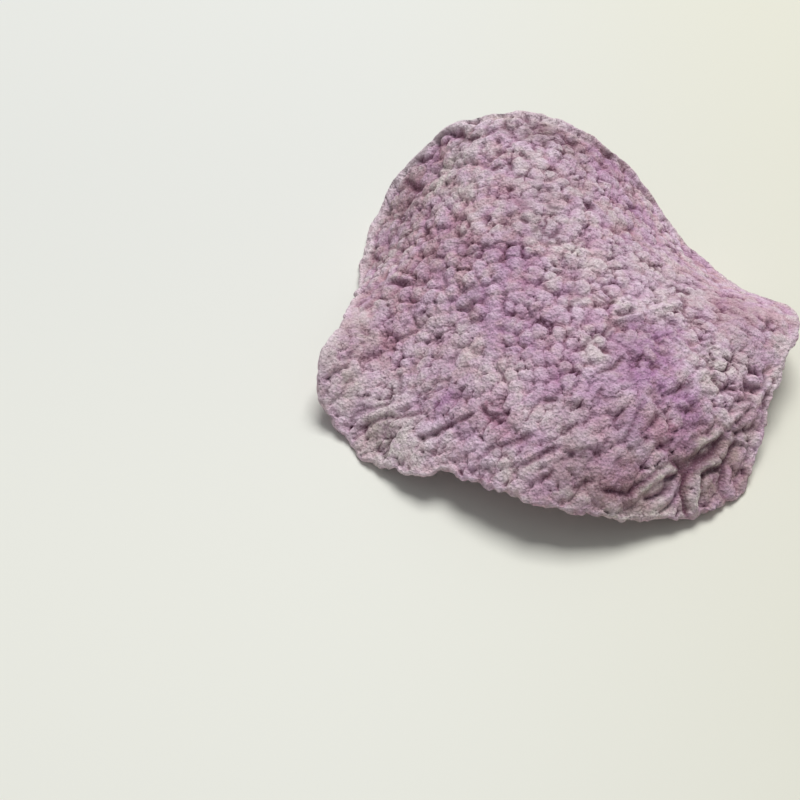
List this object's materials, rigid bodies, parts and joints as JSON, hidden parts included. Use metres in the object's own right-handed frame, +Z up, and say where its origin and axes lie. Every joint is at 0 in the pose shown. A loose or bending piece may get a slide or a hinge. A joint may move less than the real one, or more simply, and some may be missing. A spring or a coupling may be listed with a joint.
{
  "type": "dried purple yam slice",
  "caption": "Thin dried slice of purple yam, warped like a chip, with pebbly lumps on both faces and a ragged rounded rim; it rests on low spots of its rim.",
  "frame": {"origin": "on the surface the slice rests on, below the centre of its box", "axes": "+X along the slice's long side, +Y from its front edge to its raised back edge, +Z up"},
  "size_m": [0.0711, 0.0687, 0.0228],
  "materials": {
    "dried_yam_flesh": "matte"
  },
  "bodies": {
    "root": {"yam_slice": "dried_yam_flesh"}
  },
  "joints": []
}
